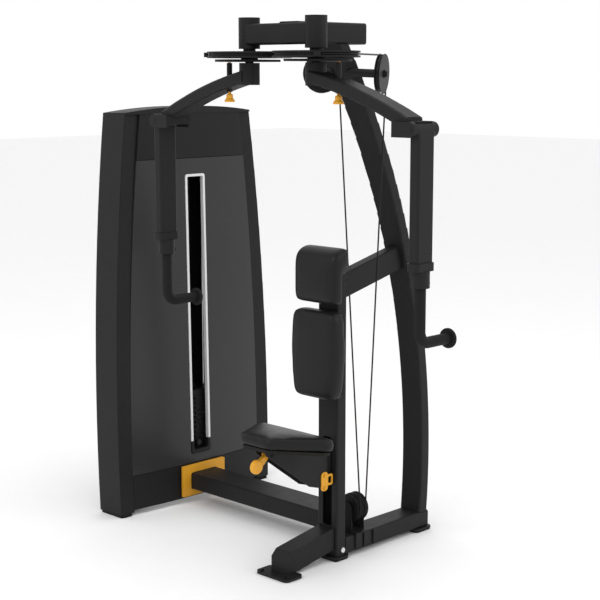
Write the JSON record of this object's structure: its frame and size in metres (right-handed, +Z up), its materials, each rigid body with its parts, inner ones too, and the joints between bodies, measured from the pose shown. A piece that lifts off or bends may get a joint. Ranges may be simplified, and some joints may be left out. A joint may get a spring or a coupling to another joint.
{
  "type": "pec fly and rear delt machine",
  "caption": "Selectorised chest fly and rear delt machine with two overhead cam-driven swing arms, hanging handles, seat, pads and a shrouded weight stack.",
  "frame": {"origin": "on the floor, under the centre of the seat post", "axes": "+Z up, +Y from the seat towards the curved rear column, the weight tower stands on the -X side"},
  "size_m": [1.7632, 0.9929, 2.003],
  "materials": {
    "black_frame": "fine-textured black powder coat",
    "black_arm": "fine-textured black powder coat",
    "panel_grey": "satin charcoal sheet with a slight sheen",
    "panel_dark": "satin black sheet",
    "accent_orange": "amber powder coat",
    "trim_light": "brushed light trim",
    "upholstery": "smooth black vinyl with fine grain",
    "board": "black-stained plywood",
    "rubber_black": "matte rubber",
    "plastic_black": "moulded nylon",
    "steel_bright": "ground steel",
    "chrome_rod": "hard chrome",
    "cast_black": "painted cast iron",
    "cable_black": "nylon-coated wire rope",
    "zinc_bolt": "black zinc"
  },
  "bodies": {
    "frame": {"cross_beam": "black_frame", "front_foot_beam": "black_frame", "foot_plates": "black_frame", "rubber_feet": "rubber_black", "seat_post": "black_frame", "curved_column": "black_frame", "brace_bar": "black_frame", "boom_frame": "black_frame", "bearing_housings": "black_frame", "pivot_bearings": "steel_bright", "main_beam": "black_frame", "beam_collar": "accent_orange", "base_pulley_bracket": "black_frame", "arm_pulley_brackets": "black_frame", "tower_side_channels": "black_frame", "tower_front_panel": "panel_grey", "tower_header_panel": "panel_dark", "tower_lower_panel": "panel_dark", "tower_rear_panel": "panel_dark", "tower_top_cap": "black_frame", "slot_trim": "trim_light", "slot_end_piece": "plastic_black", "stack_frame": "black_frame", "guide_rods": "chrome_rod", "stack_buffers": "rubber_black", "resting_weight_plates": "cast_black", "arm_cables": "cable_black", "back_pad": "upholstery", "head_pad": "upholstery", "pad_boards": "board", "frame_bolts": "zinc_bolt"},
    "weight_stack": {"head_plate": "cast_black", "lifted_weight_plates": "cast_black", "selector_stem": "steel_bright", "lift_cables": "cable_black"},
    "selector_pin": {"selector_pin": "plastic_black"},
    "base_pulleys": {"base_pulleys": "plastic_black"},
    "tower_bottom_pulleys": {"tower_bottom_pulleys": "plastic_black"},
    "tower_top_pulleys": {"tower_top_pulleys": "plastic_black"},
    "seat": {"seat_carriage": "black_frame", "seat_board": "board", "seat_pad": "upholstery", "seat_latch": "accent_orange"},
    "seat_lever": {"seat_lever": "accent_orange"},
    "arm_pulley_right": {"arm_pulley_right": "plastic_black"},
    "cam_right": {"cam_right": "cast_black", "index_plate_right": "cast_black"},
    "swing_arm_right": {"swing_arm_right": "black_arm"},
    "pull_pin_right": {"pull_pin_right": "accent_orange"},
    "drop_tube_right": {"drop_tube_right": "black_arm"},
    "handle_right": {"handle_rod_right": "black_arm", "hand_grip_right": "rubber_black"},
    "arm_pulley_left": {"arm_pulley_left": "plastic_black"},
    "cam_left": {"cam_left": "cast_black", "index_plate_left": "cast_black"},
    "swing_arm_left": {"swing_arm_left": "black_arm"},
    "pull_pin_left": {"pull_pin_left": "accent_orange"},
    "drop_tube_left": {"drop_tube_left": "black_arm"},
    "handle_left": {"handle_rod_left": "black_arm", "hand_grip_left": "rubber_black"}
  },
  "joints": [
    {"name": "cam_turn_right", "type": "hinge", "parent": "frame", "child": "cam_right", "pos_m": [0.163, -0.26, 1.874], "axis": [0, 0, -1], "range_deg": [0, 100]},
    {"name": "start_position_right", "type": "hinge", "parent": "cam_right", "child": "swing_arm_right", "pos_m": [0.163, -0.26, 1.8], "axis": [0, 0, 1], "range_deg": [0, 60]},
    {"name": "pull_pin_slide_right", "type": "slide", "parent": "swing_arm_right", "child": "pull_pin_right", "axis": [0, 0, 1], "range_m": [0, 0.007]},
    {"name": "handle_swing_right", "type": "hinge", "parent": "swing_arm_right", "child": "drop_tube_right", "pos_m": [0.625, -0.26, 1.634], "axis": [0, 1, 0], "range_deg": [-8, 8]},
    {"name": "grip_swivel_right", "type": "hinge", "parent": "drop_tube_right", "child": "handle_right", "pos_m": [0.63, -0.26, 1.15], "axis": [0, 0, 1], "range_deg": [-45, 45]},
    {"name": "cam_turn_left", "type": "hinge", "parent": "frame", "child": "cam_left", "pos_m": [-0.163, -0.26, 1.874], "axis": [0, 0, 1], "range_deg": [0, 100]},
    {"name": "start_position_left", "type": "hinge", "parent": "cam_left", "child": "swing_arm_left", "pos_m": [-0.163, -0.26, 1.8], "axis": [0, 0, -1], "range_deg": [0, 60]},
    {"name": "pull_pin_slide_left", "type": "slide", "parent": "swing_arm_left", "child": "pull_pin_left", "axis": [0, 0, 1], "range_m": [0, 0.007]},
    {"name": "handle_swing_left", "type": "hinge", "parent": "swing_arm_left", "child": "drop_tube_left", "pos_m": [-0.625, -0.26, 1.634], "axis": [0, -1, 0], "range_deg": [-8, 8]},
    {"name": "grip_swivel_left", "type": "hinge", "parent": "drop_tube_left", "child": "handle_left", "pos_m": [-0.63, -0.26, 1.15], "axis": [0, 0, -1], "range_deg": [-45, 45]},
    {"name": "arm_pulley_turn_right", "type": "hinge", "parent": "frame", "child": "arm_pulley_right", "pos_m": [0.14822, 0.09324, 1.80806], "axis": [-0.8958, -0.4424, 0.0428], "range_deg": [-221.7, 0]},
    {"name": "arm_pulley_turn_left", "type": "hinge", "parent": "frame", "child": "arm_pulley_left", "pos_m": [-0.14438, 0.09211, 1.80835], "axis": [-0.8919, 0.4405, -0.1026], "range_deg": [-221.7, 0]},
    {"name": "base_pulleys_turn", "type": "hinge", "parent": "frame", "child": "base_pulleys", "pos_m": [0, 0.118, 0.17], "axis": [0, 1, 0], "range_deg": [-292.5, 0]},
    {"name": "tower_bottom_pulleys_turn", "type": "hinge", "parent": "frame", "child": "tower_bottom_pulleys", "pos_m": [-1.022, 0.15, 0.152], "axis": [0, 1, 0], "range_deg": [-456.8, 0]},
    {"name": "tower_top_pulleys_turn", "type": "hinge", "parent": "frame", "child": "tower_top_pulleys", "pos_m": [-1.022, 0.15, 1.568], "axis": [0, 1, 0], "range_deg": [-456.8, 0]},
    {"name": "stack_lift", "type": "slide", "parent": "frame", "child": "weight_stack", "axis": [0, 0, 1], "range_m": [0, 0.2553], "deforming": ["lift_cables"]},
    {"name": "selector_pin_slide", "type": "slide", "parent": "weight_stack", "child": "selector_pin", "axis": [1, 0, 0], "range_m": [0, 0.058]},
    {"name": "seat_height", "type": "slide", "parent": "frame", "child": "seat", "axis": [0, 0, 1], "range_m": [-0.15, 0.04]},
    {"name": "seat_lever_lift", "type": "hinge", "parent": "seat", "child": "seat_lever", "pos_m": [0, -0.338, 0.466], "axis": [-1, 0, 0], "range_deg": [0, 12], "stiffness_Nm_per_rad": 4, "springref_deg": -6.88}
  ],
  "couplings": [
    {"joint": "cam_turn_left", "follows": "cam_turn_right", "ratio": 1},
    {"joint": "arm_pulley_turn_right", "follows": "cam_turn_right", "ratio": -2.2121},
    {"joint": "arm_pulley_turn_left", "follows": "cam_turn_right", "ratio": -2.2121},
    {"joint": "base_pulleys_turn", "follows": "cam_turn_right", "ratio": -2.92},
    {"joint": "tower_bottom_pulleys_turn", "follows": "cam_turn_right", "ratio": -4.5625},
    {"joint": "tower_top_pulleys_turn", "follows": "cam_turn_right", "ratio": -4.5625},
    {"joint": "stack_lift", "follows": "cam_turn_right", "m_per_rad": 0.146}
  ]
}
